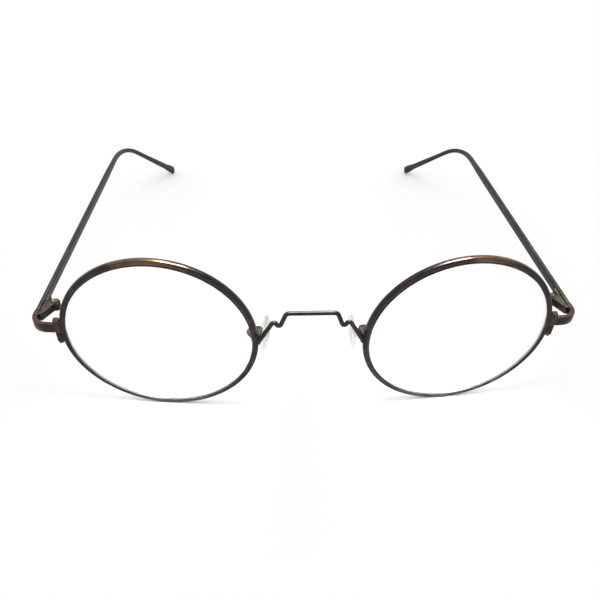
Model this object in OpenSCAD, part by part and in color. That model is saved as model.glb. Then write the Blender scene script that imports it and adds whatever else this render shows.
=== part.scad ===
// Round wire eyeglasses: two split rims with bevelled lenses, a bent-wire bridge,
// adjustable nose pads and two flat temples on three-barrel hinges.
// The wearer looks along -Y, +Z is up, and the glasses stand open on the ground
// plane z = 0, on the bottoms of both rims and the tips of both temples.
// "Left" and "right" are the wearer's: left is +X.

/* [Lenses] */
// Diameter of each lens over the point of its bevel
lens_d = 47; // [42:0.5:52]
// Gap between the two lenses over the nose
lens_gap = 28; // [24:0.5:32]
// Thickness of each lens
lens_t = 1.6; // [1.4:0.1:2.2]
// Radius of the front surface of each lens
lens_curve_r = 130; // [100:5:250]
// Height of the bevel round the lens edge
bevel_h = 0.5; // [0.3:0.05:0.6]
// Clearance of the bevel in the rim groove
bevel_clear = 0.03; // [0.02:0.01:0.06]

/* [Rims] */
// Radial thickness of the rim wire
rim_w = 1.55; // [0.9:0.05:2]
// Depth of the rim wire, front to back
rim_depth = 1.4; // [1.3:0.1:2.4]
// Chamfer along the outer edges of the rim wire
rim_chamfer = 0.2; // [0.1:0.05:0.3]
// Angle by which each rim is swept back towards its temple
face_wrap = 5.3; // [2:0.1:8]
// Angle by which the top of each rim leans forward
face_tilt = 3.4; // [0:0.1:8]

/* [Rim locks] */
// Width of a lock block, outwards from the rim
block_w = 1.4; // [1.3:0.1:2.2]
// Depth of a lock block, front to back
block_depth = 1.5; // [1.4:0.1:2.6]
// Height of the upper lock block
upper_block_h = 4.2; // [3.2:0.1:5]
// Height of the lower lock block
lower_block_h = 2.8; // [2:0.1:4]
// Thickness of the upper block over the end of the lock screw
block_cap = 0.8; // [0.5:0.1:1.2]
// Gap that the lock screw closes between the two blocks
lock_gap = 0.1; // [0.05:0.05:0.5]
// Radius of the lock screw's shank
lock_screw_r = 0.4; // [0.3:0.05:0.45]
// Radius of the lock screw's head
lock_head_r = 0.65; // [0.55:0.05:0.7]
// Height of the lock screw's head
lock_head_h = 0.5; // [0.3:0.05:0.8]

/* [End pieces] */
// Thickness of the flat strip of the end pieces and temples
strip_t = 1.2; // [1:0.1:1.6]
// Height of the flat strip at the end pieces
strip_h = 2.6; // [2:0.1:3]
// Height of the end piece's middle above the lens centre
end_piece_up = 1.5; // [1.4:0.05:2]
// Straight length of an end piece from its lock block to its bend
end_piece_l = 2.3; // [1.8:0.1:5]
// Radius of the end piece's bend, along its middle
bend_r = 3.6; // [2.5:0.1:4.5]
// Straight length of an end piece behind its bend
tail_l = 1.6; // [1.2:0.1:3]

/* [Hinges] */
// Distance of the hinge screw behind the end piece's bend
pivot_back = 5.2; // [4.6:0.1:8]
// Distance of the hinge screw inwards from the middle of the strip
pivot_in = 3.4; // [3:0.1:4.5]
// Radius of the hinge barrels
barrel_r = 1.2; // [1.1:0.05:1.4]
// Height of the whole hinge
hinge_h = 2.2; // [2:0.1:3.4]
// Height of the temple's middle barrel
middle_h = 0.9; // [0.7:0.1:1.1]
// Gap above and below the middle barrel
barrel_gap = 0.06; // [0.04:0.01:0.1]
// Radius of the hinge screw's shank
hinge_screw_r = 0.45; // [0.35:0.05:0.6]
// Radius of the hinge screw's head
hinge_head_r = 0.8; // [0.7:0.05:0.95]
// Height of the hinge screw's head
hinge_head_h = 0.4; // [0.3:0.05:0.6]
// Length of the temple leaf's foot along the temple
leaf_foot_l = 2.6; // [2:0.1:7]
// Thickness of the leaf feet
leaf_t = 0.65; // [0.5:0.05:0.8]
// Clearance between the temple and the wings of the front leaf
wing_clear = 0.12; // [0.08:0.02:0.2]
// Reach of the wings behind the hinge screw
wing_back = 0.3; // [0.1:0.05:0.4]
// Margin of the temple strip above and below the temple leaf's foot
foot_margin = 0.3; // [0.1:0.05:0.4]

/* [Temples] */
// Length of a temple from its front end to the ear bend
temple_l = 94.5; // [80:0.5:110]
// Angle by which a temple runs inwards
toe_in = 3.7; // [2:0.1:6]
// Rise of the ear bend above the end piece
ear_rise = 1.2; // [-2:0.1:3]
// Bend radius over the ear, along the temple's middle
ear_bend_r = 30; // [20:1:45]
// Level length of the hook behind the ear bend
hook_reach = 33; // [26:1:40]
// Angle by which the hook runs inwards
hook_toe_in = 22.5; // [8:0.5:26]
// Length before the ear bend over which the strip narrows
taper_l = 27; // [15:1:40]
// Height of the strip at the ear bend
ear_strip_h = 1.5; // [1:0.1:2]
// Thickness of the strip at the ear bend
ear_strip_t = 1; // [0.8:0.1:1.2]
// Length of the narrow strip behind the ear bend
neck_l = 14; // [4:1:20]
// Width of the hook where its paddle starts
hook_w = 2; // [1.5:0.1:2.6]
// Length over which the paddle flares
flare_l = 6; // [3:0.5:12]
// Length of the paddle's full width
paddle_l = 1.5; // [1:0.5:6]
// Width of the rounded paddle at the tip
tip_w = 2.9; // [2:0.1:4]
// Thickness of the paddle at the tip
tip_t = 1.3; // [1:0.1:1.8]
// Gap between a temple's front end and its end piece
butt_gap = 0.06; // [0.04:0.01:0.1]

/* [Bridge] */
// Diameter of the bridge wire
bridge_wire_d = 1.15; // [0.9:0.05:1.18]
// Height of the bridge bar above the lens centre
bridge_up = 8.8; // [8:0.1:10.5]
// Radius of the bend at each end of the bar
bar_bend_r = 1.2; // [1:0.1:1.8]
// Steepness of the bridge wire beside the bar
shoulder_angle = 70; // [64:1:84]
// Straight length between the bar bend and the notch
shoulder_l = 2.8; // [2:0.1:3.2]
// Radius of the two tight bends of the notch
notch_r = 0.6; // [0.58:0.01:0.7]
// Straight length between the two bends of the notch
notch_rise = 0.12; // [0.1:0.02:0.3]
// Steepness of the straight legs that run to the rims
leg_angle = 60; // [57:0.5:64]
// Height of a leg's foot above the lens centre
leg_foot_up = 0.4; // [0:0.1:1]
// Distance from the rim to the middle of a leg's foot, which is filed to fit the rim
leg_stand = 0.3; // [0.2:0.02:0.4]

/* [Nose pads] */
// Length of a nose pad
pad_l = 12; // [10:0.5:14]
// Width of a nose pad
pad_w = 6.5; // [5.5:0.5:8]
// Thickness of a nose pad
pad_t = 1.7; // [1.6:0.1:2.2]
// Distance of a pad's middle inwards from the edge of its lens
pad_in = 2.3; // [1:0.1:3]
// Distance of a pad's middle behind the lens centres
pad_back = 5.6; // [4.5:0.1:8]
// Distance of a pad's middle below the lens centres
pad_down = 4.9; // [4:0.1:7]
// Angle by which the backs of the pads spread apart
pad_spread = 9; // [4:1:20]
// Angle by which the bottoms of the pads spread apart
pad_splay = 11; // [4:1:16]
// Diameter of the pad arm wire
arm_wire_d = 0.9; // [0.7:0.05:1]
// Height of a pad arm's foot above the lens centre
arm_foot_up = 1.6; // [0.8:0.1:3]
// Length of a pad arm's first run, straight back from the rim
arm_reach = 2.6; // [2:0.1:4]
// Sideways bow of a pad arm
arm_bow = 0.5; // [0.3:0.05:0.8]
// Radius of the pad screw's shank
pad_screw_r = 0.35; // [0.3:0.05:0.4]
// Radius of the pad screw's head
pad_head_r = 0.65; // [0.5:0.05:0.8]
// Height of the pad screw's head
pad_head_h = 0.3; // [0.25:0.05:0.4]
// Radius of the round end of the pad core's tab
tab_r = 0.6; // [0.55:0.05:0.7]
// Distance of the pad screw behind the pad
tab_reach = 1.35; // [1.3:0.05:2]
// Thickness of the pad core's tab
tab_t = 0.9; // [0.7:0.1:1]
// Side clearance of the tab between the ears of its box
tab_clear = 0.08; // [0.05:0.01:0.12]
// Distance of the pad box behind the pad
box_clear = 0.5; // [0.45:0.05:0.6]
// Clearance between the tab's end and the floor of its box
floor_clear = 0.15; // [0.1:0.05:0.3]
// Height of the pad box
box_h = 2; // [1.6:0.1:2.4]
// Wall thickness of the pad box
box_wall = 0.45; // [0.35:0.05:0.6]
// Length of the core's plate inside the pad
core_l = 7; // [5:0.5:8]
// Width of the core's plate inside the pad
core_w = 3.4; // [2.4:0.2:4]
// Thickness of the core's plate
core_t = 0.5; // [0.4:0.1:0.8]

/* [Fits] */
// Gap left for the solder film where pieces are brazed together
solder = 0.02; // [0.01:0.01:0.05]
// Radial clearance of a screw shank in its hole
screw_clear = 0.03; // [0.02:0.01:0.06]
// Gap under a screw head
head_clear = 0.03; // [0.02:0.01:0.06]
// Width of the slot in a screw head
slot_w = 0.25; // [0.15:0.05:0.3]
// Depth of the slot in a screw head
slot_depth = 0.2; // [0.1:0.05:0.3]

/* [Hidden] */
$fn = 64;
LEFT = 1;
RIGHT = -1;
SLACK = 1;                      // how far a cutting tool runs past what it cuts
LAP = 0.01;                     // how far the lengths of one bent strip run into each other
SWEEP_SIDES = 16;               // sides of a round swept wire
CORNER_STEPS = 2;               // steps round each corner of a flat swept strip
STRIP_ROUND = 0.45;             // corner radius of a swept strip, as a share of its thinner side
BLOCK_ROUND = 0.3;              // radius of a lock block's upright edges
CORE_ROUND = 1;                 // radius of the corners of a pad core's plate

metal = [0.27, 0.24, 0.23];
dark_metal = [0.2, 0.19, 0.18];
screw_metal = [0.5, 0.48, 0.45];
silicone = [0.9, 0.93, 0.92];
clear_glass = [0.97, 1, 0.96, 0.25];

lens_r = lens_d / 2;
lens_x = (lens_gap + lens_d) / 2;
rim_in_r = lens_r - bevel_h + bevel_clear;
rim_out_r = rim_in_r + rim_w;

// A rim's axis is turned by the wrap and the tilt, so its box follows from both.
rim_drop = rim_out_r * cos(face_tilt) + rim_depth / 2 * sin(face_tilt);
axis_y = cos(face_wrap) * cos(face_tilt);
rim_front = rim_out_r * sqrt(1 - axis_y * axis_y) + rim_depth / 2 * axis_y;
rim_nose_y = -rim_out_r * sin(face_wrap);

// The bridge bar is as long as the gap between the rims leaves it.
leg_l = (bridge_up - leg_foot_up - bar_bend_r * (1 - cos(shoulder_angle)) - shoulder_l * sin(shoulder_angle)
    + notch_r * (cos(leg_angle) - cos(shoulder_angle)) + notch_rise * sin(shoulder_angle)) / sin(leg_angle);
leg_foot_x = lens_x - rim_out_r * cos(face_wrap) - leg_stand;
bar_l = 2 * (leg_foot_x - leg_l * cos(leg_angle) - notch_r * (3 * sin(shoulder_angle) + sin(leg_angle))
    - (shoulder_l + notch_rise) * cos(shoulder_angle) - bar_bend_r * sin(shoulder_angle));

// The end piece leaves its block along the rim's own level line.
block_face = rim_out_r + block_w;
end_start = from_lens([block_face + solder, 0, end_piece_up]);
bend_start = end_start + end_piece_l * [cos(face_wrap), sin(face_wrap), 0];
bend_centre = bend_start + bend_r * [-sin(face_wrap), cos(face_wrap), 0];
temple_heading = 90 + toe_in;
hinge_origin = bend_centre + bend_r * [sin(temple_heading), -cos(temple_heading), 0];

// The temple's route: its front end, the ear bend and the middle of its tip.
temple_dir = [cos(temple_heading), sin(temple_heading), 0];
temple_start = hinge_origin + (tail_l + butt_gap) * temple_dir;
ear_bend = temple_start + temple_l * temple_dir + [0, 0, ear_rise];
tip_centre = [
    ear_bend.x - hook_reach * sin(hook_toe_in),
    ear_bend.y + hook_reach * cos(hook_toe_in),
    tip_w / 2 - rim_drop
];
ground_y = (tip_centre.y + tip_w / 2 - rim_front) / 2;

// Hinge heights are taken from the middle of the hinge.
side_barrel_h = (hinge_h - middle_h) / 2 - barrel_gap;
leaf_seat = strip_t / 2 + solder;

// Nose pad: x runs from the pad's middle out to its box.
pad_out = lens_gap / 2 - pad_in;
tab_x = pad_t / 2 + tab_reach;
ear_x = pad_t / 2 + box_clear;
box_floor_x = tab_x + tab_r + floor_clear;
box_end_x = box_floor_x + box_wall;
ear_y = tab_t / 2 + tab_clear;
box_w = 2 * (ear_y + box_wall);

// ---- Vectors and routes ----

function unit(v) = v / norm(v);

// A point given in a left lens's own directions, in the directions of the front.
function from_lens(p) =
    let (back = p.y * cos(face_tilt) - p.z * sin(face_tilt))
    let (up = p.y * sin(face_tilt) + p.z * cos(face_tilt))
    [
        lens_x + p.x * cos(face_wrap) - back * sin(face_wrap),
        p.x * sin(face_wrap) + back * cos(face_wrap),
        up
    ];

// A point given in a left nose pad's own directions, in the directions of the front.
function from_pad(p) =
    let (out = p.x * cos(pad_splay) - p.z * sin(pad_splay))
    let (up = p.x * sin(pad_splay) + p.z * cos(pad_splay))
    [
        pad_out + out * cos(pad_spread) + p.y * sin(pad_spread),
        pad_back - out * sin(pad_spread) + p.y * cos(pad_spread),
        up - pad_down
    ];

// Points along an arc of radius r that rounds the corner b on the way from a to c.
function corner_arc(a, b, c, r, steps) =
    let (u1 = unit(b - a), u2 = unit(c - b))
    let (turn = acos(u1 * u2))
    let (centre = b + unit(u2 - u1) * r / cos(turn / 2))
    let (start = b - u1 * r * tan(turn / 2))
    [for (i = [0:steps]) centre + (start - centre) * cos(turn * i / steps) + u1 * r * sin(turn * i / steps)];

// A bent wire in the XZ plane. Each move is [straight length, turn, bend radius].
function bent_wire(p, heading, moves, i = 0) =
    i == len(moves) ? [p] : concat([p], bend_points(p, heading, moves, i));

function bend_points(p, heading, moves, i) =
    let (run = moves[i][0], turn = moves[i][1], r = moves[i][2])
    let (q = p + run * [cos(heading), 0, sin(heading)])
    let (hand = sign(turn))
    let (centre = q + hand * r * [-sin(heading), 0, cos(heading)])
    let (steps = ceil(abs(turn) / 15))
    let (arc = [
        for (k = [0:1:steps - 1])
        let (h = heading + turn * k / steps)
        centre + hand * r * [sin(h), 0, -cos(h)]
    ])
    let (h_end = heading + turn)
    let (q_end = turn == 0 ? q : centre + hand * r * [sin(h_end), 0, -cos(h_end)])
    concat(turn == 0 ? [] : arc, bent_wire(q_end, h_end, moves, i + 1));

// A smooth curve through the points p, with the given steps between two points.
function smooth(p, steps) =
    let (n = len(p) - 1)
    concat(
        [for (i = [0:n - 1]) for (k = [0:steps - 1]) spline_point(p, i, k / steps)],
        [p[n]]
    );

function spline_point(p, i, t) =
    let (p0 = p[max(i - 1, 0)], p1 = p[i], p2 = p[i + 1], p3 = p[min(i + 2, len(p) - 1)])
    (2 * p1 + (p2 - p0) * t + (2 * p0 - 5 * p1 + 4 * p2 - p3) * t * t
        + (3 * p1 - p0 - 3 * p2 + p3) * t * t * t) / 2;

function tangent(path, i) =
    unit(path[min(i + 1, len(path) - 1)] - path[max(i - 1, 0)]);

function run_length(path, i) = i == 0 ? 0 : run_length(path, i - 1) + norm(path[i] - path[i - 1]);

// ---- Swept rings ----

// One ring of a round wire, square to its route.
function round_ring(c, t, across, r) =
    let (u = unit(cross(t, across)), v = cross(t, u))
    [for (k = [0:SWEEP_SIDES - 1]) c + r * (u * cos(360 * k / SWEEP_SIDES) + v * sin(360 * k / SWEEP_SIDES))];

// One ring of a flat strip with rounded corners: thick along the level, tall across it.
function strip_ring(c, t, thick, tall) =
    let (side = unit([1, 0, 0] - t.x * t), up = cross(side, t))
    let (r = STRIP_ROUND * min(thick, tall), a = thick / 2 - r, b = tall / 2 - r)
    [
        for (k = [0:3]) for (j = [0:CORNER_STEPS])
        let (angle = 90 * (k + j / CORNER_STEPS), sx = (k == 0 || k == 3) ? 1 : -1, sz = k < 2 ? 1 : -1)
        c + side * (sx * a + r * cos(angle)) + up * (sz * b + r * sin(angle))
    ];

module skin(rings) {
    n = len(rings[0]);
    last = len(rings) - 1;
    sides = [for (i = [0:last - 1]) for (k = [0:n - 1]) for (f = [0, 1])
        let (a = i * n + k, b = i * n + (k + 1) % n)
        f == 0 ? [a, b + n, b] : [a, a + n, b + n]];
    caps = [[for (k = [0:n - 1]) k], [for (k = [n - 1:-1:0]) last * n + k]];
    polyhedron([for (ring = rings) each ring], concat(caps, sides), convexity = 6);
}

module round_wire(path, across, r) {
    skin([for (i = [0:len(path) - 1]) round_ring(path[i], tangent(path, i), across, r)]);
}

// ---- Places ----

// Stands what is drawn about the lens line on the ground, on the left or mirrored right.
module placed(side) {
    translate([0, -ground_y, rim_drop])
        if (side == LEFT) children();
        else mirror([1, 0, 0]) children();
}

// Lens directions: x out to the temple, y back, z up, about the lens centre.
module at_lens() {
    translate([lens_x, 0, 0]) rotate([0, 0, face_wrap]) rotate([face_tilt, 0, 0]) children();
}

// Hinge directions: x back along the temple, y in towards the face, z up.
module at_hinge() {
    translate(hinge_origin) rotate([0, 0, temple_heading]) children();
}

// Pad directions: x out to the pad box, y back, z up along the pad.
module at_pad() {
    translate([pad_out, pad_back, -pad_down])
        rotate([0, 0, -pad_spread]) rotate([0, -pad_splay, 0]) children();
}

// A disc or ring about the lens axis, drawn with z along that axis.
module about_lens_axis() {
    at_lens() rotate([90, 0, 0]) children();
}

module rim_envelope() {
    about_lens_axis() cylinder(r = rim_out_r + solder, h = rim_depth + 2 * solder, center = true, $fn = 180);
}

// A bar with its upright edges rounded, centred on x and y, with its foot at z = 0.
module rounded_bar(x, y, h, r) {
    linear_extrude(h) {
        square([x - 2 * r, y], center = true);
        square([x, y - 2 * r], center = true);
        for (sx = [-1, 1], sy = [-1, 1]) translate([sx * (x / 2 - r), sy * (y / 2 - r)]) circle(r, $fn = 24);
    }
}

// A slotted cheese-head screw, head down at z = 0 and shank up.
module screw(head_r, head_h, shank_r, shank_l) {
    difference() {
        union() {
            cylinder(r = head_r, h = head_h, $fn = 32);
            cylinder(r = shank_r, h = head_h + shank_l, $fn = 32);
        }
        translate([-head_r - SLACK, -slot_w / 2, -SLACK])
            cube([2 * (head_r + SLACK), slot_w, slot_depth + SLACK]);
    }
}

// ---- Bridge ----

module bridge() {
    half = bent_wire([0, rim_nose_y, bridge_up], 0, [
        [bar_l / 2, -shoulder_angle, bar_bend_r],
        [shoulder_l, 2 * shoulder_angle, notch_r],
        [notch_rise, -shoulder_angle - leg_angle, notch_r],
        [leg_l, 0, 0]
    ]);
    n = len(half) - 1;
    whole = concat([for (i = [n:-1:1]) [-half[i].x, half[i].y, half[i].z]], half);
    color(dark_metal) translate([0, -ground_y, rim_drop])
        difference() {
            round_wire(whole, [0, 1, 0], bridge_wire_d / 2);
            rim_envelope();
            mirror([1, 0, 0]) rim_envelope();
        }
}

// ---- Rims and lenses ----

module rim(side) {
    half = rim_depth / 2;
    groove_r = lens_r + bevel_clear;
    groove = groove_r - rim_in_r;
    color(metal) placed(side) difference() {
        about_lens_axis() rotate_extrude($fn = 180) polygon([
            [rim_in_r, -half],
            [rim_out_r - rim_chamfer, -half],
            [rim_out_r, rim_chamfer - half],
            [rim_out_r, half - rim_chamfer],
            [rim_out_r - rim_chamfer, half],
            [rim_in_r, half],
            [rim_in_r, groove],
            [groove_r, 0],
            [rim_in_r, -groove]
        ]);
        at_lens() translate([rim_out_r, 0, 0]) cube([3 * rim_w, 2 * rim_depth, lock_gap], center = true);
    }
}

module lens(side) {
    edge_r = lens_r - bevel_h;
    sag = lens_curve_r - sqrt(pow(lens_curve_r, 2) - pow(edge_r, 2));
    color(clear_glass) placed(side) about_lens_axis() {
        intersection() {
            difference() {
                translate([0, 0, lens_t / 2 + sag - lens_curve_r]) sphere(lens_curve_r, $fn = 180);
                translate([0, 0, sag - lens_t / 2 - lens_curve_r]) sphere(lens_curve_r, $fn = 180);
            }
            translate([0, 0, -lens_t]) cylinder(r = edge_r, h = 2 * lens_t + sag, $fn = 180);
        }
        rotate_extrude($fn = 180) polygon([
            [edge_r - bevel_h, -bevel_h],
            [edge_r, -bevel_h],
            [lens_r, 0],
            [edge_r, bevel_h],
            [edge_r - bevel_h, bevel_h]
        ]);
    }
}

// ---- Rim locks ----

// One block beside the rim, from height z upwards, with a hole for the lock screw
// that ends below a cap of the given thickness, or runs out where the cap is negative.
module lock_block(z, h, cap) {
    difference() {
        at_lens() translate([block_centre(), 0, z]) rounded_bar(block_w, block_depth, h, BLOCK_ROUND);
        rim_envelope();
        at_lens() translate([block_centre(), 0, z - SLACK])
            cylinder(r = lock_screw_r + screw_clear, h = h + SLACK - cap, $fn = 32);
    }
}

function block_centre() = rim_out_r + block_w / 2;

module upper_lock_block(side) {
    color(metal) placed(side) lock_block(lock_gap / 2, upper_block_h, block_cap);
}

module lower_lock_block(side) {
    color(metal) placed(side) lock_block(-lock_gap / 2 - lower_block_h, lower_block_h, -SLACK);
}

module lock_screw(side) {
    bottom = -lock_gap / 2 - lower_block_h - head_clear - lock_head_h;
    shank_l = lower_block_h + lock_gap + upper_block_h - block_cap;
    color(screw_metal) placed(side) at_lens() translate([block_centre(), 0, bottom])
        screw(lock_head_r, lock_head_h, lock_screw_r, shank_l);
}

// ---- End pieces ----

module end_piece(side) {
    turn = temple_heading - face_wrap;
    color(metal) placed(side) {
        translate(end_start) rotate([0, 0, face_wrap]) translate([0, -strip_t / 2, -strip_h / 2])
            cube([end_piece_l + LAP, strip_t, strip_h]);
        translate(bend_centre) rotate([0, 0, face_wrap - 90]) rotate_extrude(angle = turn, $fn = 96)
            translate([bend_r - strip_t / 2, -strip_h / 2]) square([strip_t, strip_h]);
        at_hinge() translate([-LAP, -strip_t / 2, -strip_h / 2]) cube([tail_l + LAP, strip_t, strip_h]);
    }
}

// ---- Hinges ----

module at_pivot() {
    translate([pivot_back, pivot_in, 0]) children();
}

module screw_hole() {
    at_pivot() cylinder(r = hinge_screw_r + screw_clear, h = 2 * hinge_h, center = true, $fn = 32);
}

// Two barrels, one above and one below the middle barrel, on winged plates from the end piece.
module front_hinge_leaf(side) {
    foot_end = tail_l - butt_gap;
    wing_y = strip_t / 2 + wing_clear;
    wing_x = pivot_back + wing_back;
    slot_h = middle_h + 2 * barrel_gap;
    color(dark_metal) placed(side) at_hinge() difference() {
        union() {
            translate([0, 0, -hinge_h / 2]) linear_extrude(hinge_h) polygon([
                [0, leaf_seat],
                [foot_end, leaf_seat],
                [foot_end, wing_y],
                [wing_x, wing_y],
                [wing_x, pivot_in],
                [pivot_back, pivot_in + barrel_r / 3],
                [0, leaf_seat + leaf_t]
            ]);
            at_pivot() cylinder(r = barrel_r, h = hinge_h, center = true, $fn = 48);
        }
        at_pivot() cylinder(r = barrel_r + 2 * barrel_gap, h = slot_h, center = true, $fn = 48);
        translate([pivot_back - barrel_gap, 0, -slot_h / 2]) cube([barrel_r, pivot_in, slot_h]);
        screw_hole();
    }
}

// The middle barrel on a web from a foot on the temple's inner face.
module temple_hinge_leaf(side) {
    foot_x = pivot_back + barrel_r / 2;
    foot_h = strip_h - 2 * foot_margin;
    color(dark_metal) placed(side) at_hinge() difference() {
        union() {
            translate([foot_x, leaf_seat, -foot_h / 2]) cube([leaf_foot_l, leaf_t, foot_h]);
            translate([0, 0, -middle_h / 2]) linear_extrude(middle_h) polygon([
                [foot_x, leaf_seat],
                [foot_x + leaf_foot_l / 2, leaf_seat],
                [foot_x + leaf_foot_l / 2, leaf_seat + leaf_t],
                [pivot_back + barrel_r, pivot_in],
                [pivot_back, pivot_in]
            ]);
            at_pivot() cylinder(r = barrel_r, h = middle_h, center = true, $fn = 48);
        }
        screw_hole();
    }
}

module hinge_screw(side) {
    top = hinge_h / 2 + head_clear + hinge_head_h;
    color(screw_metal) placed(side) at_hinge() at_pivot() translate([0, 0, top]) rotate([180, 0, 0])
        screw(hinge_head_r, hinge_head_h, hinge_screw_r, hinge_h + head_clear);
}

// ---- Temples ----

module temple(side) {
    straight_end = ear_bend - ear_bend_r * unit(ear_bend - temple_start);
    hook_dir = unit(tip_centre - ear_bend);
    route = concat(
        [for (i = [0:7]) temple_start + (straight_end - temple_start) * i / 8],
        corner_arc(temple_start, ear_bend, tip_centre, ear_bend_r, 8),
        [for (i = [3:8]) ear_bend + (tip_centre - ear_bend) * i / 8]
    );
    ear_run = norm(ear_bend - temple_start);
    whole_run = run_length(route, len(route) - 1);
    tall_at = [[0, strip_h], [ear_run - taper_l, strip_h], [ear_run, ear_strip_h],
        [ear_run + neck_l, ear_strip_h], [whole_run - paddle_l - flare_l, hook_w],
        [whole_run - paddle_l, tip_w], [whole_run, tip_w]];
    thick_at = [[0, strip_t], [ear_run - taper_l, strip_t], [ear_run, ear_strip_t],
        [whole_run - paddle_l, tip_t], [whole_run, tip_t]];
    body = [for (i = [0:len(route) - 1])
        strip_ring(route[i], tangent(route, i), lookup(run_length(route, i), thick_at),
            lookup(run_length(route, i), tall_at))];
    tip = [for (angle = [15:15:75])
        strip_ring(tip_centre + hook_dir * tip_w / 2 * sin(angle), hook_dir,
            tip_t * (1 + cos(angle)) / 2, tip_w * cos(angle))];
    color(metal) placed(side) skin(concat(body, tip));
}

// ---- Nose pads ----

// The arm is brazed to the back of the rim and loops out behind the lens to the pad box.
module pad_arm(side) {
    foot = from_lens([-rim_out_r, rim_depth / 2, arm_foot_up]);
    seat_x = box_end_x + solder;
    seat = from_pad([seat_x, 0, 0]);
    route = [
        foot,
        foot + [-arm_bow, arm_reach / 2, arm_bow],
        foot + [0, arm_reach, 0],
        [seat.x + arm_bow, seat.y - arm_wire_d, (foot.z + seat.z) / 2],
        from_pad([seat_x + arm_wire_d, 0, arm_wire_d]),
        seat
    ];
    color(dark_metal) placed(side) difference() {
        round_wire(smooth(route, 6), [1, -1, 1], arm_wire_d / 2);
        rim_envelope();
        at_pad() translate([seat_x - box_w, -box_w, -box_h]) cube([box_w, 2 * box_w, 2 * box_h]);
    }
}

// A channel with two ears that the core's tab swings between.
module pad_box(side) {
    color(metal) placed(side) at_pad() difference() {
        translate([ear_x, -box_w / 2, -box_h / 2]) cube([box_end_x - ear_x, box_w, box_h]);
        translate([ear_x - SLACK, -ear_y, -box_h]) cube([box_floor_x - ear_x + SLACK, 2 * ear_y, 2 * box_h]);
        pad_screw_hole(box_w + 2 * SLACK);
    }
}

module pad_screw_hole(l) {
    translate([tab_x, 0, 0]) rotate([90, 0, 0])
        cylinder(r = pad_screw_r + screw_clear, h = l, center = true, $fn = 32);
}

// The solid that the core's plate fills, a little larger for the moulded pad.
module core_plate_solid(grow) {
    rotate([0, 90, 0]) translate([0, 0, -core_t / 2 - grow])
        rounded_bar(core_l + 2 * grow, core_w + 2 * grow, core_t + 2 * grow, CORE_ROUND + grow);
}

module core_neck(grow) {
    translate([0, -tab_t / 2 - grow, -tab_r - grow]) cube([tab_x, tab_t + 2 * grow, 2 * (tab_r + grow)]);
}

module pad_core(side) {
    color(silicone) placed(side) at_pad() difference() {
        union() {
            core_plate_solid(0);
            core_neck(0);
            translate([tab_x, 0, 0]) rotate([90, 0, 0])
                cylinder(r = tab_r, h = tab_t, center = true, $fn = 32);
        }
        pad_screw_hole(2 * tab_t);
    }
}

// A soft oval pad moulded round the core's plate.
module nose_pad(side) {
    edge = pad_t / 2;
    end = pad_w / 2 - edge;
    color(silicone) placed(side) at_pad() difference() {
        hull() for (s = [-1, 1])
            translate([0, 0, s * (pad_l - pad_w) / 2]) rotate([0, 90, 0])
                rotate_extrude($fn = 32) translate([end, 0]) intersection() {
                    circle(edge, $fn = 24);
                    translate([0, -edge]) square(2 * edge);
                }
        core_plate_solid(solder);
        core_neck(solder);
    }
}

module pad_screw(side) {
    color(screw_metal) placed(side) at_pad()
        translate([tab_x, -box_w / 2 - head_clear - pad_head_h, 0]) rotate([-90, 0, 0])
        screw(pad_head_r, pad_head_h, pad_screw_r, box_w + head_clear);
}

bridge();
rim(LEFT);  // rim_left
rim(RIGHT);  // rim_right
lens(LEFT);  // lens_left
lens(RIGHT);  // lens_right
upper_lock_block(LEFT);  // upper_lock_block_left
upper_lock_block(RIGHT);  // upper_lock_block_right
lower_lock_block(LEFT);  // lower_lock_block_left
lower_lock_block(RIGHT);  // lower_lock_block_right
lock_screw(LEFT);  // lock_screw_left
lock_screw(RIGHT);  // lock_screw_right
end_piece(LEFT);  // end_piece_left
end_piece(RIGHT);  // end_piece_right
front_hinge_leaf(LEFT);  // front_hinge_leaf_left
front_hinge_leaf(RIGHT);  // front_hinge_leaf_right
temple_hinge_leaf(LEFT);  // temple_hinge_leaf_left
temple_hinge_leaf(RIGHT);  // temple_hinge_leaf_right
hinge_screw(LEFT);  // hinge_screw_left
hinge_screw(RIGHT);  // hinge_screw_right
temple(LEFT);  // temple_left
temple(RIGHT);  // temple_right
pad_arm(LEFT);  // pad_arm_left
pad_arm(RIGHT);  // pad_arm_right
pad_box(LEFT);  // pad_box_left
pad_box(RIGHT);  // pad_box_right
nose_pad(LEFT);  // nose_pad_left
nose_pad(RIGHT);  // nose_pad_right
pad_core(LEFT);  // pad_core_left
pad_core(RIGHT);  // pad_core_right
pad_screw(LEFT);  // pad_screw_left
pad_screw(RIGHT);  // pad_screw_right
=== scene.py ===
"""Round wire eyeglasses, open and standing on a pale floor. Metres, in the CAD model's frame."""

import math

import bmesh
import bpy
from mathutils import Matrix, Vector


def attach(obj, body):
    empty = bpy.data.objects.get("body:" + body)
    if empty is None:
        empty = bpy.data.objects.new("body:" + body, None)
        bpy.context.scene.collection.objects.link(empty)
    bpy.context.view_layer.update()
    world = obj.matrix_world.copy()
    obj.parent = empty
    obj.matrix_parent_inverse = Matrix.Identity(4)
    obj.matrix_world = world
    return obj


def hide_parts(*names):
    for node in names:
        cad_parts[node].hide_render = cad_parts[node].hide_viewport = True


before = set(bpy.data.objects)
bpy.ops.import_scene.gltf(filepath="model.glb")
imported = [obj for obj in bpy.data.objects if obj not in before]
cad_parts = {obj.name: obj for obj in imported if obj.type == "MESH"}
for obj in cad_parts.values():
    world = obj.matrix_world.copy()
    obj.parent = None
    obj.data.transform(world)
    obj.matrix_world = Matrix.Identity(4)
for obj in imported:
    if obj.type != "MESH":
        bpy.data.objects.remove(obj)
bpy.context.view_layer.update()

MM = 0.001
SIDES = (("left", 1), ("right", -1))

# ---- Sizes of the frame, in mm, the same as the CAD model's ----

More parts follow.
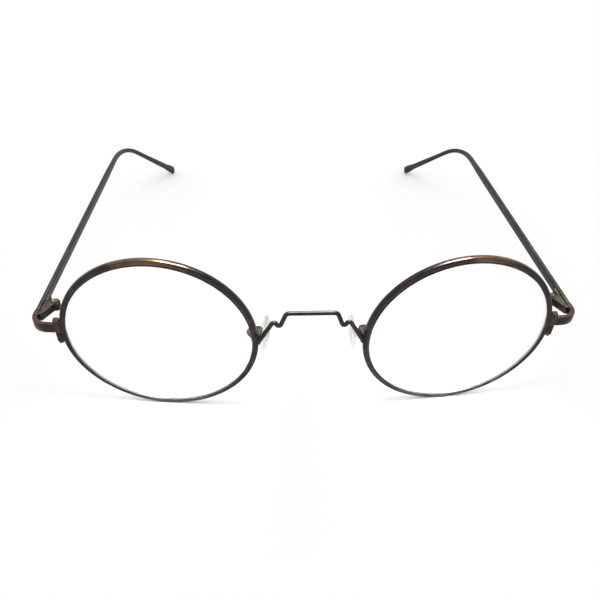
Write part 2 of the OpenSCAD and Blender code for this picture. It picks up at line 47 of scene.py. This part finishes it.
LENS_X = 37.5            # lens centre, from the middle of the nose
RIM_OUT = 24.58          # outer radius of a rim
RIM_DEPTH = 1.4
WRAP, TILT = 5.3, 3.4    # degrees
GROUND_Y, RIM_DROP = 65.4247, 24.5782


def polar(degrees):
    """The cosine and sine of an angle in degrees."""
    a = math.radians(degrees)
    return math.cos(a), math.sin(a)


def placed(p, side):
    """A point in mm about the middle of the lens line, on the left, as metres in the row frame."""
    return Vector((side * p[0], p[1] - GROUND_Y, p[2] + RIM_DROP)) * MM


def from_lens(p):
    """A point in a left lens's own directions, in mm about the middle of the lens line."""
    cw, sw = polar(WRAP)
    ct, st = polar(TILT)
    back, up = p[1] * ct - p[2] * st, p[1] * st + p[2] * ct
    return Vector((LENS_X + p[0] * cw - back * sw, p[0] * sw + back * cw, up))


# ---- Node helpers ----

MIX_A, MIX_B, MIX_RESULT = 6, 7, 2    # the colour sockets of a Mix node


class Nodes:
    """A short way to write a node tree."""

    def __init__(self, name):
        self.mat = bpy.data.materials.new(name)
        self.mat.use_nodes = True
        self.tree = self.mat.node_tree
        self.tree.nodes.clear()
        self.out = self.add("ShaderNodeOutputMaterial")

    def add(self, kind, inputs=None, **settings):
        node = self.tree.nodes.new(kind)
        for key, value in settings.items():
            setattr(node, key, value)
        for key, value in (inputs or {}).items():
            self.put(node.inputs[key], value)
        return node

    def put(self, socket, value):
        if isinstance(value, bpy.types.NodeSocket):
            self.tree.links.new(value, socket)
        else:
            socket.default_value = value

    def surface(self, socket):
        self.put(self.out.inputs["Surface"], socket)

    def place(self, scale=(1, 1, 1)):
        """Object coordinates, stretched."""
        where = self.add("ShaderNodeTexCoord").outputs["Object"]
        return self.add("ShaderNodeMapping", {"Vector": where, "Scale": scale}).outputs["Vector"]

    def noise(self, vector, scale, detail, rough):
        node = self.add("ShaderNodeTexNoise", {"Vector": vector, "Scale": scale, "Detail": detail,
                                               "Roughness": rough})
        return node.outputs["Fac"]

    def ramp(self, fac, *stops):
        """A colour that changes with fac. Each stop is a place from 0 to 1 and a colour."""
        node = self.add("ShaderNodeValToRGB", {"Fac": fac})
        ramp = node.color_ramp
        while len(ramp.elements) < len(stops):
            ramp.elements.new(0.5)
        for element, (at, colour) in zip(ramp.elements, stops):
            element.position = at
            element.color = (*colour, 1)
        return node.outputs["Color"]

    def grey(self, fac, low, high, out_low=0.0, out_high=1.0):
        """fac from low to high, as out_low to out_high."""
        node = self.add("ShaderNodeMapRange", {"Value": fac, "From Min": low, "From Max": high,
                                               "To Min": out_low, "To Max": out_high})
        return node.outputs["Result"]

    def mix(self, fac, a, b):
        """From a to b as fac goes from 0 to 1."""
        node = self.add("ShaderNodeMix", data_type="RGBA")
        self.put(node.inputs["Factor"], fac)
        self.put(node.inputs[MIX_A], a)
        self.put(node.inputs[MIX_B], b)
        return node.outputs[MIX_RESULT]

    def bump(self, height, strength, distance):
        node = self.add("ShaderNodeBump", {"Height": height, "Strength": strength, "Distance": distance})
        return node.outputs["Normal"]


def rgb(r, g, b):
    """A colour given as it looks on a screen, from 0 to 255, as linear light."""
    return tuple(pow((v / 255 + 0.055) / 1.055, 2.4) if v > 10 else v / 3294.6 for v in (r, g, b))


# The scale of each kind of mark, and of the patches that break up the painted sheen on the rim tops: a larger
# number makes smaller marks.
SPECKS, GRAIN, SHEEN_PATCHES, SMEARS = 2600, 1500, 90, 60
METAL = 0.9              # how metallic the plating is
GRAIN_DEPTH = 0.00004    # metres
SHEEN_FROM, SHEEN_TO = 0.043, 0.049    # heights in metres between which the painted sheen on the top arcs sets in


def patina(name, dark, mid, light, worn, rough, edge, grain=(1, 1, 1), top=None, mottled=260):
    """Aged lacquered metal: mottled colour, fine grain and edges rubbed back to brighter metal.

    Where a top colour is given, the upper arcs are painted in it: a painted sheen where light falls on them
    from above, broken up by random patches.
    """
    n = Nodes(name)
    where = n.place()
    mottle = n.noise(where, mottled, 5, 0.62)
    speck = n.noise(where, SPECKS, 3, 0.7)
    lines = n.noise(n.place(grain), GRAIN, 3, 0.6)
    colour = n.ramp(mottle, (0.3, dark), (0.52, mid), (0.72, light))
    colour = n.mix(n.grey(speck, 0.42, 0.72, 0.0, 0.35), colour, (*dark, 1))
    # Painted sheen: the upper arcs are painted a lighter bronze by height, where light from above falls on
    # them, broken up by random patches.
    if top:
        height = n.add("ShaderNodeSeparateXYZ", {"Vector": where}).outputs["Z"]
        sheen_patches = n.grey(n.noise(where, SHEEN_PATCHES, 3, 0.5), 0.4, 0.6)
        sheen_share = n.mix(0.5, n.grey(height, SHEEN_FROM, SHEEN_TO), sheen_patches)
        colour = n.mix(n.grey(sheen_share, 0.55, 0.95, 0.0, 0.9), colour, (*top, 1))
    edges = n.grey(n.add("ShaderNodeNewGeometry").outputs["Pointiness"], 0.52, 0.6, 0.0, edge)
    colour = n.mix(edges, colour, (*worn, 1))
    shade = n.add("ShaderNodeBsdfPrincipled", {
        "Base Color": colour, "Metallic": METAL,
        "Roughness": n.grey(n.mix(0.5, mottle, lines), 0.3, 0.7, *rough),
        "Normal": n.bump(lines, 0.25, GRAIN_DEPTH),
    })
    n.surface(shade.outputs["BSDF"])
    return n.mat


def clear(name, tint, ior, rough, let_through, clearness):
    """A clear solid that bends what is seen through it, and lets lamplight through.

    clearness below 1 makes it milky.
    """
    n = Nodes(name)
    smear = n.noise(n.place(), SMEARS, 3, 0.5)
    lighter = tuple(min(1, v * 1.01) for v in tint)
    glass = n.add("ShaderNodeBsdfPrincipled", {
        "Base Color": n.ramp(smear, (0.3, tint), (0.7, lighter)),
        "Transmission Weight": clearness, "IOR": ior,
        "Roughness": n.grey(smear, 0.3, 0.7, rough * 0.6, rough) if rough else 0.0,
    })
    open_way = n.add("ShaderNodeBsdfTransparent", {"Color": (*[let_through * v for v in tint], 1)})
    both = n.add("ShaderNodeMixShader", {"Fac": n.add("ShaderNodeLightPath").outputs["Is Shadow Ray"]})
    n.put(both.inputs[1], glass.outputs["BSDF"])
    n.put(both.inputs[2], open_way.outputs["BSDF"])
    n.surface(both.outputs["Shader"])
    return n.mat


BRONZE = patina("antique_bronze", rgb(38, 31, 31), rgb(52, 41, 41), rgb(66, 52, 50), rgb(104, 84, 66),
                rough=(0.34, 0.5), edge=0.25)
HINGE = patina("aged_hinge", rgb(22, 20, 19), rgb(36, 33, 31), rgb(66, 61, 54), rgb(110, 98, 80),
               rough=(0.44, 0.62), edge=0.4, mottled=900)
GUNMETAL = patina("gunmetal", rgb(34, 33, 31), rgb(46, 44, 42), rgb(60, 56, 52), rgb(92, 82, 72),
                  rough=(0.4, 0.58), edge=0.3)
TEMPLE = patina("temple_grey", rgb(32, 31, 31), rgb(41, 40, 40), rgb(54, 52, 51), rgb(80, 76, 72),
                rough=(0.36, 0.52), edge=0.5, grain=(1, 0.06, 1))
WIRE = patina("bridge_wire", rgb(44, 42, 43), rgb(55, 52, 53), rgb(72, 62, 60), rgb(92, 82, 76),
              rough=(0.34, 0.5), edge=0.25)
STEEL = patina("screw_steel", rgb(48, 45, 40), rgb(72, 67, 59), rgb(98, 91, 80), rgb(150, 140, 120),
               rough=(0.3, 0.45), edge=0.5)
LENS = clear("lens_clear", (0.996, 0.998, 0.99), 1.5, 0.0, 0.97, 1.0)
PAD_CLEAR = clear("pad_silicone", (0.86, 0.872, 0.872), 1.3, 0.2, 0.94, 0.72)
CORE_CLEAR = clear("core_clear", (0.9, 0.912, 0.912), 1.33, 0.14, 0.94, 0.85)
# The rim's top colour is a painted sheen on its upper arcs.
RIM = patina("rim_bronze", rgb(38, 36, 36), rgb(47, 43, 43), rgb(58, 53, 51), rgb(104, 84, 68),
             rough=(0.17, 0.32), edge=0.25, top=rgb(100, 76, 56))
BRAZE = patina("braze", rgb(36, 31, 30), rgb(50, 42, 40), rgb(66, 53, 48), rgb(98, 80, 64),
               rough=(0.38, 0.55), edge=0.5)

PAINTS = {
    "rim": BRONZE, "upper_lock_block": BRONZE, "lower_lock_block": BRONZE, "end_piece": BRONZE,
    "front_hinge_leaf": HINGE, "temple_hinge_leaf": HINGE, "hinge_screw": STEEL, "lock_screw": STEEL,
    "temple": TEMPLE, "bridge": WIRE, "pad_arm": GUNMETAL, "pad_box": GUNMETAL, "pad_screw": STEEL,
    "lens": LENS, "nose_pad": PAD_CLEAR, "pad_core": CORE_CLEAR,
}
SOFT = {   # how far the edges of a CAD node are rounded, in mm
    "upper_lock_block": 0.12, "lower_lock_block": 0.12, "end_piece": 0.22, "front_hinge_leaf": 0.08,
    "temple_hinge_leaf": 0.08, "pad_box": 0.06, "hinge_screw": 0.05, "lock_screw": 0.05, "pad_screw": 0.04,
}


WELD_WITHIN = 1e-6        # metres
SHARP = 25                # degrees between faces from which an edge is rounded


def paint(obj, mat):
    obj.data.materials.clear()
    obj.data.materials.append(mat)


def soften(obj, width):
    """Rounds the sharp edges of a CAD node with modifiers. width is in metres."""
    weld = obj.modifiers.new("weld", "WELD")
    weld.merge_threshold = WELD_WITHIN
    bevel = obj.modifiers.new("bevel", "BEVEL")
    bevel.width = width
    bevel.segments = 2
    bevel.limit_method = "ANGLE"
    bevel.angle_limit = math.radians(SHARP)
    bevel.harden_normals = True


# ---- Mesh pieces ----


def piece(name, rings, side, mat, body, replaces=()):
    """A smooth skin over rings of points in mm, with a cap at each end."""
    n = len(rings[0])
    mesh = bmesh.new()
    rows = [[mesh.verts.new(placed(p, side)) for p in ring] for ring in rings]
    for one, two in zip(rows, rows[1:]):
        for k in range(n):
            mesh.faces.new((one[k], one[(k + 1) % n], two[(k + 1) % n], two[k]))
    for row in (rows[0], rows[-1]):
        middle = mesh.verts.new(sum((v.co for v in row), Vector()) / n)
        for k in range(n):
            mesh.faces.new((row[k], row[(k + 1) % n], middle))
    bmesh.ops.recalc_face_normals(mesh, faces=mesh.faces)
    for face in mesh.faces:
        face.smooth = True
    data = bpy.data.meshes.new(name)
    mesh.to_mesh(data)
    mesh.free()
    obj = bpy.data.objects.new(name, data)
    bpy.context.collection.objects.link(obj)
    paint(obj, mat)
    if replaces:
        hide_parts(*replaces)
    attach(obj, body)
    return obj


def unit_ring(count, power=2.0):
    """Points round a circle, or round a square with rounded corners where power is above 2."""
    ring = []
    for k in range(count):
        c, s = polar(360 * k / count)
        ring.append((math.copysign(abs(c) ** (2 / power), c), math.copysign(abs(s) ** (2 / power), s)))
    return ring


def arc(a, b, c, r, steps):
    """Points that round the corner b, on the way from a to c, with radius r."""
    u1, u2 = (b - a).normalized(), (c - b).normalized()
    turn = u1.angle(u2)
    centre = b + (u2 - u1).normalized() * (r / math.cos(turn / 2))
    out = b - u1 * (r * math.tan(turn / 2)) - centre
    return [centre + out * math.cos(turn * i / steps) + u1 * (r * math.sin(turn * i / steps))
            for i in range(steps + 1)]


def spline(points, steps):
    """A smooth curve through the points."""
    out = []
    last = len(points) - 1
    for i in range(last):
        p0, p1, p2, p3 = points[max(i - 1, 0)], points[i], points[i + 1], points[min(i + 2, last)]
        for k in range(steps):
            t = k / steps
            out.append((2 * p1 + (p2 - p0) * t + (2 * p0 - 5 * p1 + 4 * p2 - p3) * t ** 2
                        + (3 * p1 - p0 - 3 * p2 + p3) * t ** 3) / 2)
    return out + [points[-1]]


def sweep(path, across, size, section):
    """Rings of a section along a path.

    size gives, for the length run so far, the half width along across and the other half width.
    """
    rings, run = [], 0.0
    for i, p in enumerate(path):
        run += (p - path[i - 1]).length if i else 0.0
        along = (path[min(i + 1, len(path) - 1)] - path[max(i - 1, 0)]).normalized()
        u = (across - along * across.dot(along)).normalized()
        v = along.cross(u)
        a, b = size(run)
        rings.append([p + u * (a * x) + v * (b * y) for x, y in section])
    return rings


def table(stops):
    """A function that reads between the stops, easing from one to the next."""
    def read(run):
        for (x0, y0), (x1, y1) in zip(stops, stops[1:]):
            if run <= x1:
                t = min(max((run - x0) / (x1 - x0), 0.0), 1.0)
                return y0 + (y1 - y0) * t * t * (3 - 2 * t)
        return stops[-1][1]
    return read


# Rims: an open ring of wire with a crowned outer face, split at the lock.

RIM_IN = 23.03
GROOVE = 0.5
LOCK_GAP = 0.1
EDGE = 0.28              # how round the rim wire's outer edges are
CROWN = 0.06             # how far the outer face stands past its rounded edges
INNER_EDGE = 0.1         # chamfer of the inner edges
RIM_STEPS = 240


def rim_profile():
    """(radius, depth) round the rim wire, with the lens groove on its inner face."""
    half = RIM_DEPTH / 2
    shoulder = RIM_OUT - CROWN - EDGE
    points = [(RIM_IN, GROOVE), (RIM_IN + GROOVE, 0), (RIM_IN, -GROOVE), (RIM_IN, -half + INNER_EDGE),
              (RIM_IN + INNER_EDGE, -half)]
    for a in range(-90, 1, 15):
        c, s = polar(a)
        points.append((shoulder + EDGE * c, -half + EDGE + EDGE * s))
    points += [(RIM_OUT - CROWN / 4, -0.3), (RIM_OUT, 0), (RIM_OUT - CROWN / 4, 0.3)]
    for a in range(0, 91, 15):
        c, s = polar(a)
        points.append((shoulder + EDGE * c, half - EDGE + EDGE * s))
    return points + [(RIM_IN + INNER_EDGE, half), (RIM_IN, half - INNER_EDGE)]


def make_rim(tag, side):
    profile = rim_profile()
    half_gap = math.degrees(LOCK_GAP / 2 / RIM_OUT)
    rings = []
    for i in range(RIM_STEPS + 1):
        c, s = polar(half_gap + (360 - 2 * half_gap) * i / RIM_STEPS)
        rings.append([from_lens((r * c, d, r * s)) for r, d in profile])
    obj = piece(f"rim_wire_{tag}", rings, side, RIM, "front", [f"rim_{tag}"])
    obj.data.set_sharp_from_angle(angle=math.radians(50))


# Lenses: an even shell with a bevel round its edge.

LENS_R, BEVEL, LENS_T, LENS_CURVE = 23.5, 0.5, 1.6, 130.0
LENS_RINGS, LENS_SIDES = 40, 180


def make_lens(tag, side):
    edge = LENS_R - BEVEL
    sag = LENS_CURVE - math.sqrt(LENS_CURVE ** 2 - edge ** 2)
    front, back = [], []
    for i in range(1, LENS_RINGS + 1):
        r = edge * i / LENS_RINGS
        drop = LENS_CURVE - math.sqrt(LENS_CURVE ** 2 - r ** 2)
        front.append((r, drop - LENS_T / 2 - sag))
        back.append((r, drop + LENS_T / 2 - sag))
    profile = front + [(edge, -BEVEL), (LENS_R, 0), (edge, BEVEL)] + back[::-1]
    round_it = [polar(360 * k / LENS_SIDES) for k in range(LENS_SIDES)]
    rings = [[from_lens((r * c, d, r * s)) for c, s in round_it] for r, d in profile]
    obj = piece(f"lens_glass_{tag}", rings, side, LENS, "front", [f"lens_{tag}"])
    obj.data.set_sharp_from_angle(angle=math.radians(25))


# Bridge: one bent wire.

WIRE_R = 0.575
BRIDGE_Y, BRIDGE_UP = -2.270, 8.8
BAR_L = 10.7861
LEG_L = 5.989
LEG_ON = 0.25            # how far a leg runs on past its foot in the CAD model, into the braze
# Half of the wire from its middle: a straight length, the turn after it in degrees, and that turn's radius.
BRIDGE_BENDS = ((BAR_L / 2, -70, 1.2), (2.8, 140, 0.6), (0.12, -130, 0.6), (LEG_L + LEG_ON, 0, 0))
BRIDGE_STEP = 0.25       # spacing of the points on the straight lengths


def bridge_half():
    """Points of the bridge wire from the middle to its left foot."""
    x, z, heading = 0.0, BRIDGE_UP, 0.0
    points = []
    for run, turn, r in BRIDGE_BENDS:
        c, s = polar(heading)
        count = max(int(run / BRIDGE_STEP), 1)
        points += [Vector((x + c * run * k / count, BRIDGE_Y, z + s * run * k / count)) for k in range(count)]
        x, z = x + c * run, z + s * run
        hand = math.copysign(1, turn)
        cx, cz = x - hand * r * s, z + hand * r * c
        steps = int(abs(turn) / 5)
        for k in range(steps):
            c, s = polar(heading + turn * k / steps)
            points.append(Vector((cx + hand * r * s, BRIDGE_Y, cz - hand * r * c)))
        heading += turn
        c, s = polar(heading)
        x, z = cx + hand * r * s, cz - hand * r * c
    return points + [Vector((x, BRIDGE_Y, z))]


def make_bridge():
    half = bridge_half()
    path = [Vector((-p.x, p.y, p.z)) for p in half[:0:-1]] + half
    rings = sweep(path, Vector((0, 1, 0)), lambda run: (WIRE_R, WIRE_R), unit_ring(24))
    piece("bridge_wire", rings, 1, WIRE, "front", ["bridge"])


# Temples: a flat strip that narrows to the ear bend and widens to a rounded paddle.

TEMPLE_HEAD = 93.7       # heading of the temple, in degrees from the wearer's left
HINGE_AT = Vector((68.947, 6.342, 1.497))
EAR_BEND = Vector((62.742, 102.302, 2.697))
TIP = Vector((50.113, 132.79, -23.134))
TAIL = 1.66              # from the hinge's origin to the front end of the temple strip
EAR_R = 30               # radius of the ear bend
TAPER, NECK = 27, 14     # lengths over which the strip narrows before the ear bend, and stays narrow after it
FLARE, PADDLE = 7.5, 1.5    # how far before the tip the paddle starts to flare, and reaches its full width
AT_HINGE, AT_EAR, AT_TIP = (2.6, 1.2), (1.5, 1.0), (2.9, 1.3)    # height and thickness of the strip
AT_HOOK = 2.0            # height of the strip where the flare starts
STRAIGHT_STEPS, BEND_STEPS, HOOK_STEPS = 60, 24, 30


def make_temple(tag, side):
    c, s = polar(TEMPLE_HEAD)
    start = HINGE_AT + Vector((c, s, 0)) * TAIL
    bend = arc(start, EAR_BEND, TIP, EAR_R, BEND_STEPS)
    path = [start.lerp(bend[0], i / STRAIGHT_STEPS) for i in range(STRAIGHT_STEPS)] + bend
    path += [bend[-1].lerp(TIP, i / HOOK_STEPS) for i in range(1, HOOK_STEPS + 1)]
    ear = (EAR_BEND - start).length
    whole = sum((b - a).length for a, b in zip(path, path[1:]))
    tall = table([(0, AT_HINGE[0]), (ear - TAPER, AT_HINGE[0]), (ear, AT_EAR[0]), (ear + NECK, AT_EAR[0]),
                  (whole - FLARE, AT_HOOK), (whole - PADDLE, AT_TIP[0]), (whole, AT_TIP[0])])
    thick = table([(0, AT_HINGE[1]), (ear - TAPER, AT_HINGE[1]), (ear, AT_EAR[1]),
                   (whole - PADDLE, AT_TIP[1]), (whole, AT_TIP[1])])
    section = unit_ring(32, 4.0)
    outwards = Vector((1, 0, 0))
    rings = sweep(path, outwards, lambda run: (thick(run) / 2, tall(run) / 2), section)
    along = (path[-1] - path[-2]).normalized()
    u = (outwards - along * along.x).normalized()
    v = along.cross(u)
    end_tall, end_thick = AT_TIP[0] / 2, AT_TIP[1] / 2
    for angle in range(10, 90, 10):
        c, s = polar(angle)
        middle = TIP + along * (end_tall * s)
        rings.append([middle + u * (end_thick * x * (1 + c) / 2) + v * (end_tall * c * y)
                      for x, y in section])
    obj = piece(f"temple_strip_{tag}", rings, side, TEMPLE, f"temple_{tag}", [f"temple_{tag}"])
    obj.data.set_sharp_from_angle(angle=math.radians(60))


# Nose pads, their arms and boxes. Pad directions: x out to the box, y back, z up.

PAD = Vector((11.7, 5.6, -4.9))
PAD_SPREAD, PAD_SPLAY = 9, 11
PAD_L, PAD_W, PAD_T = 12.0, 6.5, 1.7
PAD_STEPS = 24
CROWNED, FLATTER = 0.5, 0.35    # powers that round a pad towards the nose and towards its box
BOX_END = 3.4           # back of the pad box, from the pad's middle


def from_pad(p):
    """A point in a left pad's own directions, in mm about the middle of the lens line."""
    cs, ss = polar(PAD_SPREAD)
    cp, sp = polar(PAD_SPLAY)
    out, up = p[0] * cp - p[2] * sp, p[0] * sp + p[2] * cp
    return PAD + Vector((out * cs + p[1] * ss, -out * ss + p[1] * cs, up))


def make_pad(tag, side):
    """An oval pad, crowned towards the nose and flatter behind."""
    rings = []
    section = unit_ring(36, 2.3)
    for i in range(1, PAD_STEPS):
        c, s = polar(-90 + 180 * i / PAD_STEPS)
        x = s * PAD_T / 2
        wide = c ** (CROWNED if s < 0 else FLATTER)
        rings.append([from_pad((x, wide * PAD_W / 2 * a, wide * PAD_L / 2 * b)) for a, b in section])
    piece(f"silicone_pad_{tag}", rings, side, PAD_CLEAR, f"nose_pad_{tag}",
          [f"nose_pad_{tag}"])


ARM_R = 0.45             # radius of the wire
ARM_UP = 1.6             # height of the arm's foot above the middle of the rim
ARM_REACH = 2.6          # how far the arm goes back before it turns to the pad box
ARM_BOW = 0.5            # how far the arm bows out at both ends


def make_arm(tag, side):
    """A bent wire from the back of the rim to the pad box."""
    foot = from_lens((-RIM_OUT + 0.1, RIM_DEPTH / 2 - 0.35, ARM_UP))
    seat = from_pad((BOX_END, 0, 0))
    start = from_lens((-RIM_OUT, RIM_DEPTH / 2, ARM_UP))
    path = spline([foot, start + Vector((-ARM_BOW, ARM_REACH / 2, ARM_BOW)),
                   start + Vector((0, ARM_REACH, 0)),
                   Vector((seat.x + ARM_BOW, seat.y - 2 * ARM_R, (start.z + seat.z) / 2)),
                   from_pad((BOX_END + 2 * ARM_R, 0, 2 * ARM_R)), seat], 14)
    rings = sweep(path, Vector((1, -1, 1)), lambda run: (ARM_R, ARM_R), unit_ring(20))
    piece(f"pad_arm_wire_{tag}", rings, side, GUNMETAL, "front", [f"pad_arm_{tag}"])


# Beads and seams of braze where the wires and blocks meet the rims.

BEAD_STEPS = 10
SEAM_STEPS = 12
# The lock blocks, with the heights that their brazed seams run between.
BLOCKS = (("upper_block", 0.25, 4.0), ("lower_block", -2.7, -0.25))
SEAM_WIDE, SEAM_HIGH = 0.34, 0.24    # half widths of a seam, across the face and out of it


def make_bead(name, middle, along, out, size, side, seed):
    """A small uneven lens of solder: size is its half length, half width and height."""
    rings = []
    section = unit_ring(20)
    w = along.cross(out).normalized()
    for i in range(1, BEAD_STEPS):
        c, s = polar(-90 + 180 * i / BEAD_STEPS)
        ring = []
        for k, (a, b) in enumerate(section):
            wave = 1 + 0.07 * math.sin(2.3 * k + seed) + 0.05 * math.sin(0.9 * i + 2 * seed)
            ring.append(middle + along * (size[0] * a * c * wave) + w * (size[1] * b * c * wave)
                        + out * (size[2] * s))
        rings.append(ring)
    piece(name, rings, side, BRAZE, "front")


def make_seam(name, low, high, way, side):
    """A fillet of solder between a lock block and its rim. way is -1 on the front face and 1 on the back."""
    rings = []
    y = way * (RIM_DEPTH / 2 - 0.12)
    for i in range(SEAM_STEPS + 1):
        z = low + (high - low) * i / SEAM_STEPS
        x = math.sqrt(RIM_OUT ** 2 - z * z)
        swell = math.sin(math.pi * (i + 0.5) / (SEAM_STEPS + 1)) ** 0.3
        wave = 1 + 0.06 * math.sin(1.7 * i + side)
        middle, wide = (x + RIM_OUT) / 2 + 0.05, SEAM_WIDE + (RIM_OUT - x) / 2
        rings.append([from_lens((middle + wide * a * swell, y + way * SEAM_HIGH * b * swell * wave, z))
                      for a, b in unit_ring(16)])
    piece(name, rings, side, BRONZE, "front")


def make_braze(tag, side):
    """Beads at the bridge foot and at the pad arm's foot, and seams along both lock blocks."""
    cw, sw = polar(WRAP)
    down = Vector((0, 0, -1))
    foot = bridge_half()[-1] + Vector((0.05, 0.1, 0.45))
    make_bead(f"braze_bridge_{tag}", foot, down, Vector((0, -1, 0)), (1.7, 0.6, 0.6), side, 1.0)
    arm = from_lens((-RIM_OUT + 0.05, RIM_DEPTH / 2 - 0.2, ARM_UP))
    make_bead(f"braze_arm_{tag}", arm, down, Vector((-sw, cw, 0)), (0.9, 0.6, 0.45), side, 2.0)
    for name, low, high in BLOCKS:
        for face, way in (("front", -1), ("back", 1)):
            make_seam(f"braze_{name}_{face}_{tag}", low, high, way, side)


for tag, side in SIDES:
    make_rim(tag, side)
    make_lens(tag, side)
    make_temple(tag, side)
    make_pad(tag, side)
    make_arm(tag, side)
    make_braze(tag, side)
make_bridge()

for name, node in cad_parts.items():
    base = name.replace("_left", "").replace("_right", "")
    paint(node, PAINTS[base])
    if base in SOFT:
        soften(node, SOFT[base] * MM)

# ---- Floor, light and camera: places and sizes in metres ----

FLOOR_SIZE = 60
SKY = 1.28               # strength of the even light from all round
SKY_FRONT, SKY_BACK = (0.42, 0.42, 0.43), (1, 1, 1)    # its colour in front of the glasses and behind them
GLINT = 3.8              # watts of each strip light
GLINT_COLOUR = (1, 0.95, 0.88)
STRIP_SIZE = (0.01, 0.12)
STRIPS = (("strip_near", (-0.012, 0.03, 0.42)), ("strip_far", (0.075, 0.03, 0.42)))
STRIP_TARGET = (0, -0.06, 0.04)
CAMERA_AT = (-0.01107, -0.19260, 0.13667)
HEADING, PITCH, ROLL = -4.12, 38.1, 1.89    # degrees
FOCAL, SENSOR = 40.4, 36                    # mm
SHIFT = (-0.0069, -0.0056)


def floor():
    bpy.ops.mesh.primitive_plane_add(size=FLOOR_SIZE, location=(0, 0, 0))
    obj = bpy.context.object
    obj.name = "floor"
    n = Nodes("floor_white")
    tone = n.ramp(n.noise(n.place(), 3, 2, 0.4), (0.3, (0.93, 0.93, 0.928)), (0.7, (0.95, 0.95, 0.948)))
    shade = n.add("ShaderNodeBsdfPrincipled", {"Base Color": tone, "Roughness": 0.9,
                                               "Specular IOR Level": 0.1})
    n.surface(shade.outputs["BSDF"])
    paint(obj, n.mat)


def strip(name, place):
    """A strip light that shows as a glint on the metal and leaves the floor evenly lit."""
    data = bpy.data.lights.new(name, "AREA")
    data.shape = "RECTANGLE"
    data.size, data.size_y = STRIP_SIZE
    data.energy = GLINT
    data.color = GLINT_COLOUR
    obj = bpy.data.objects.new(name, data)
    obj.location = place
    obj.rotation_euler = (Vector(STRIP_TARGET) - Vector(place)).to_track_quat("-Z", "Y").to_euler()
    obj.visible_diffuse = False
    obj.visible_transmission = False
    bpy.context.collection.objects.link(obj)


def studio():
    """Soft light from all round, a little dimmer from the front, and the strip lights."""
    world = bpy.data.worlds.new("studio")
    bpy.context.scene.world = world
    world.use_nodes = True
    tree = world.node_tree
    sky = tree.nodes["Background"]
    where = tree.nodes.new("ShaderNodeTexCoord").outputs["Generated"]
    split = tree.nodes.new("ShaderNodeSeparateXYZ")
    tree.links.new(where, split.inputs[0])
    ramp = tree.nodes.new("ShaderNodeValToRGB")
    for element, at, colour in zip(ramp.color_ramp.elements, (0.05, 0.6), (SKY_FRONT, SKY_BACK)):
        element.position = at
        element.color = (*colour, 1)
    shift = tree.nodes.new("ShaderNodeMapRange")
    shift.inputs["From Min"].default_value = -1
    tree.links.new(split.outputs["Y"], shift.inputs["Value"])
    tree.links.new(shift.outputs["Result"], ramp.inputs["Fac"])
    tree.links.new(ramp.outputs["Color"], sky.inputs["Color"])
    sky.inputs["Strength"].default_value = SKY
    for name, place in STRIPS:
        strip(name, place)


def camera():
    data = bpy.data.cameras.new("camera")
    data.lens = FOCAL
    data.sensor_width = SENSOR
    data.shift_x, data.shift_y = SHIFT
    data.clip_start = 0.005
    obj = bpy.data.objects.new("camera", data)
    turn = (Matrix.Rotation(math.radians(HEADING), 3, "Z") @ Matrix.Rotation(math.radians(90 - PITCH), 3, "X")
            @ Matrix.Rotation(math.radians(ROLL), 3, "Z"))
    obj.matrix_world = Matrix.Translation(CAMERA_AT) @ turn.to_4x4()
    bpy.context.collection.objects.link(obj)
    bpy.context.scene.camera = obj


floor()
studio()
camera()
bpy.context.scene.view_settings.view_transform = "Standard"
